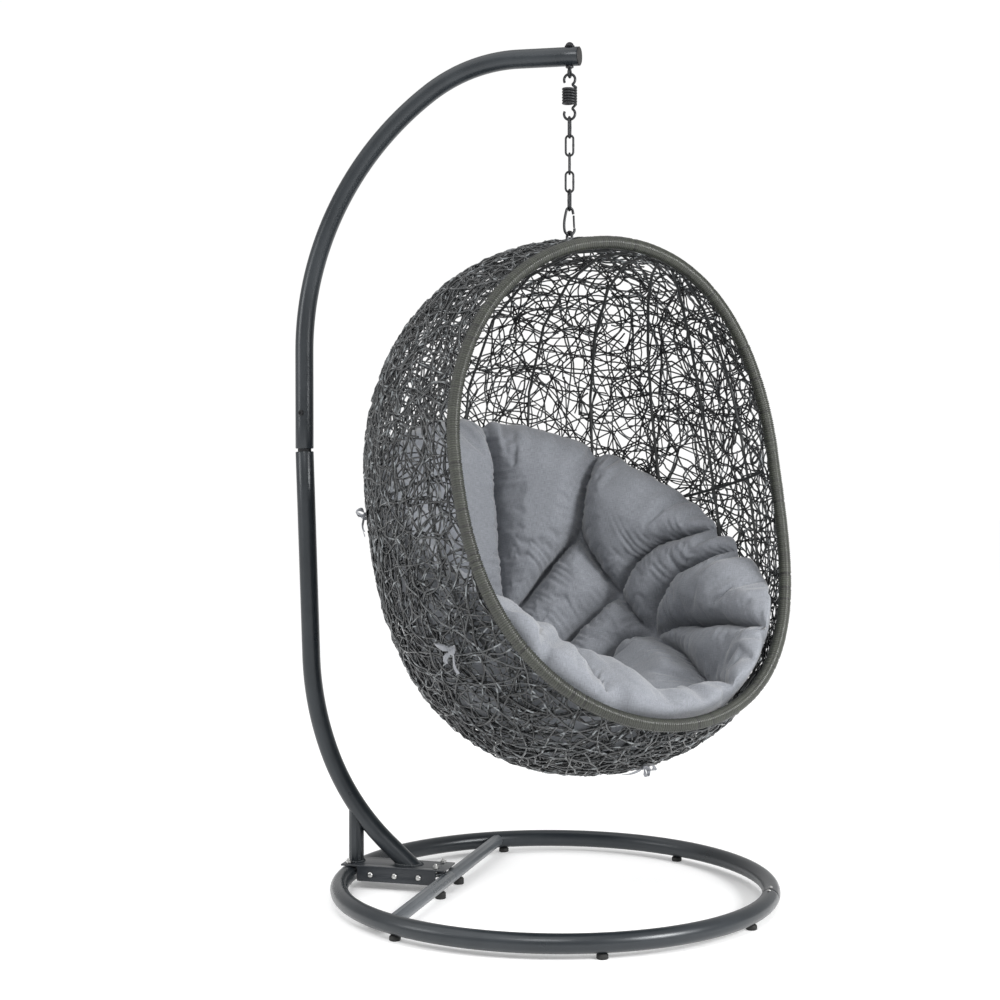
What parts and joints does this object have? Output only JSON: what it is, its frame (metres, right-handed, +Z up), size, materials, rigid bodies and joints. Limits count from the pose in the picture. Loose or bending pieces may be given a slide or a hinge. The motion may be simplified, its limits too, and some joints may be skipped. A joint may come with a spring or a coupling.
{
  "type": "hanging egg chair",
  "caption": "Woven egg-shaped basket seat with a tufted pad, hung by a spring, chain and snap hook from a curved single-mast stand on a ring base.",
  "frame": {"origin": "on the floor, under the middle of the overall bounding box", "axes": "+Z up; the arm reaches from the mast towards +X; at rest the basket faces half way between -Y and +X"},
  "size_m": [1.1635, 1.0262, 1.9559],
  "materials": {
    "stand_paint": "satin dark blue-grey powder coat",
    "zinc_steel": "bright zinc-plated fasteners",
    "black_steel": "satin black hanging hardware",
    "black_rubber": "matte black",
    "basket_frame_paint": "satin black",
    "grey_wicker": "dark grey resin wicker, satin",
    "olive_wicker": "olive grey resin wicker, satin",
    "grey_fabric": "heathered grey woven polyester"
  },
  "bodies": {
    "stand": {"ring_half_near": "stand_paint", "ring_half_far": "stand_paint", "ring_coupler_front": "zinc_steel", "ring_coupler_back": "zinc_steel", "ring_screw_near": "zinc_steel", "ring_screw_far": "zinc_steel", "crossbar_near": "stand_paint", "crossbar_far": "stand_paint", "crossbar_spigot": "zinc_steel", "foot_near_1": "black_rubber", "foot_near_2": "black_rubber", "foot_near_3": "black_rubber", "foot_far_1": "black_rubber", "foot_far_2": "black_rubber", "foot_far_3": "black_rubber", "foot_bar_near": "black_rubber", "foot_bar_far": "black_rubber", "mast_shoe": "stand_paint", "inner_channel": "stand_paint", "side_bolt_1": "zinc_steel", "side_bolt_2": "zinc_steel", "side_bolt_3": "zinc_steel", "side_nut_1": "zinc_steel", "side_nut_2": "zinc_steel", "side_nut_3": "zinc_steel", "corner_bolt_1": "zinc_steel", "corner_bolt_2": "zinc_steel", "corner_bolt_3": "zinc_steel", "corner_bolt_4": "zinc_steel", "corner_nut_1": "zinc_steel", "corner_nut_2": "zinc_steel", "corner_nut_3": "zinc_steel", "corner_nut_4": "zinc_steel", "strut": "stand_paint", "mast_lower": "stand_paint", "mast_upper": "stand_paint", "mast_spigot": "black_steel", "mast_bolt": "black_steel", "mast_cap_nut": "zinc_steel", "arm_plug": "black_rubber", "eye_bolt": "black_steel", "arm_cap_nut": "black_steel"},
    "spring": {"spring": "black_steel"},
    "link_1": {"chain_link_1": "black_steel"},
    "link_2": {"chain_link_2": "black_steel"},
    "link_3": {"chain_link_3": "black_steel"},
    "link_4": {"chain_link_4": "black_steel"},
    "link_5": {"chain_link_5": "black_steel"},
    "carabiner": {"carabiner": "black_steel"},
    "carabiner_gate": {"carabiner_gate": "black_steel"},
    "basket": {"rim_hoop": "basket_frame_paint", "rim_wrap": "olive_wicker", "basket_weave": "grey_wicker", "basket_cage": "basket_frame_paint", "basket_loop": "black_steel", "seat_pad": "grey_fabric"}
  },
  "joints": [
    {"name": "swing_side", "type": "hinge", "parent": "stand", "child": "spring", "pos_m": [0.0868, 0, 1.8838], "axis": [1, 0, 0], "range_deg": [-6, 6]},
    {"name": "spring_stretch", "type": "slide", "parent": "spring", "child": "link_1", "axis": [0, 0, -1], "range_m": [0, 0.03], "stiffness_N_per_m": 32000, "springref_m": -0.00781, "deforming": ["spring"]},
    {"name": "swing_fore", "type": "hinge", "parent": "link_1", "child": "link_2", "pos_m": [0.0868, 0, 1.7398], "axis": [0, -1, 0], "range_deg": [-4, 9]},
    {"name": "link_3_turn", "type": "hinge", "parent": "link_2", "child": "link_3", "pos_m": [0.0868, 0, 1.7039], "axis": [0, 0, 1], "range_deg": [-33, 14]},
    {"name": "link_4_turn", "type": "hinge", "parent": "link_3", "child": "link_4", "pos_m": [0.0868, 0, 1.6627], "axis": [0, 0, 1], "range_deg": [-33, 14]},
    {"name": "link_5_turn", "type": "hinge", "parent": "link_4", "child": "link_5", "pos_m": [0.0868, 0, 1.6215], "axis": [0, 0, 1], "range_deg": [-33, 14]},
    {"name": "carabiner_turn", "type": "hinge", "parent": "link_5", "child": "carabiner", "pos_m": [0.0868, 0, 1.5808], "axis": [0, 0, 1], "range_deg": [-33, 14]},
    {"name": "basket_turn", "type": "hinge", "parent": "carabiner", "child": "basket", "pos_m": [0.0868, 0, 1.5262], "axis": [0, 0, 1], "range_deg": [-33, 14]},
    {"name": "gate_open", "type": "hinge", "parent": "carabiner", "child": "carabiner_gate", "pos_m": [0.09504, 0.00634, 1.5628], "axis": [-0.6101, 0.7923, 0], "range_deg": [0, 12], "stiffness_Nm_per_rad": 0.02, "springref_deg": -11.46}
  ]
}
